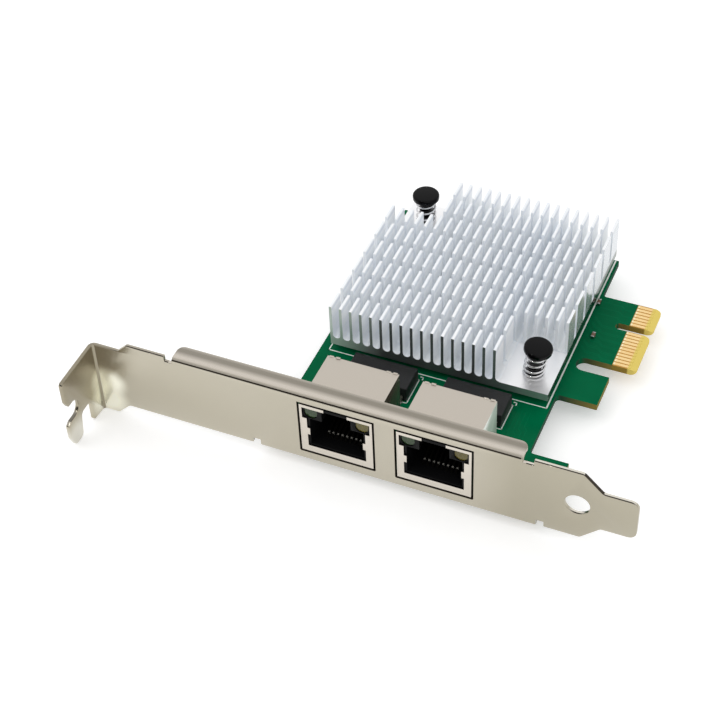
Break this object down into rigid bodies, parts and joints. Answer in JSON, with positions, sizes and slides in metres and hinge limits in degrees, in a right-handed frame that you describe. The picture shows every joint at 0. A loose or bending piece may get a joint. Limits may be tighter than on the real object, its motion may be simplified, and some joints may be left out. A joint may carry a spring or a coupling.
{
  "type": "network interface card",
  "caption": "Expansion card with a folded steel bracket, shielded network jacks, a finned cross-cut heatsink on sprung push pins and a gold edge connector.",
  "frame": {"origin": "middle of the card's footprint, at the height of the bracket's lowest corner", "axes": "+X runs along the bracket from its screw tab to its tongue, which is also the way the edge connector points, +Y runs from the bracket plate back over the board, +Z points away from the board's component side"},
  "size_m": [0.12, 0.0926, 0.0215],
  "materials": {
    "bracket_steel": "nickel plated, satin",
    "board_green": "solder mask over glass fibre laminate",
    "contact_gold": "gold plated",
    "sink_aluminium": "clear anodised, satin",
    "chip_black": "moulded epoxy",
    "pad_grey": "soft silicone pad",
    "pin_black": "moulded nylon",
    "spring_steel": "bright spring wire",
    "lead_tin": "tin plated",
    "screw_steel": "zinc plated",
    "capacitor_brown": "ceramic body with tinned ends",
    "inductor_grey": "pressed powder",
    "shield_tin": "tin plated, satin",
    "housing_black": "moulded",
    "lens_green": "tinted clear",
    "lens_yellow": "tinted clear"
  },
  "bodies": {
    "root": {"bracket": "bracket_steel", "circuit_board": "board_green", "edge_contacts": "contact_gold", "heatsink": "sink_aluminium", "controller_chip": "chip_black", "thermal_pad": "pad_grey", "push_pin_front": "pin_black", "push_pin_rear": "pin_black", "pin_spring_front": "spring_steel", "pin_spring_rear": "spring_steel", "transformer_1": "chip_black", "transformer_1_leads": "lead_tin", "transformer_2": "chip_black", "transformer_2_leads": "lead_tin", "bracket_screws": "screw_steel", "capacitors": "capacitor_brown", "resistors": "chip_black", "crystal": "lead_tin", "regulator": "chip_black", "power_inductor": "inductor_grey", "flash_chip": "chip_black", "flash_chip_leads": "lead_tin", "jack_1_shield": "shield_tin", "jack_1_housing": "housing_black", "jack_1_contacts": "contact_gold", "jack_1_light_left": "lens_green", "jack_1_light_right": "lens_yellow", "jack_2_shield": "shield_tin", "jack_2_housing": "housing_black", "jack_2_contacts": "contact_gold", "jack_2_light_left": "lens_green", "jack_2_light_right": "lens_yellow"}
  },
  "joints": []
}
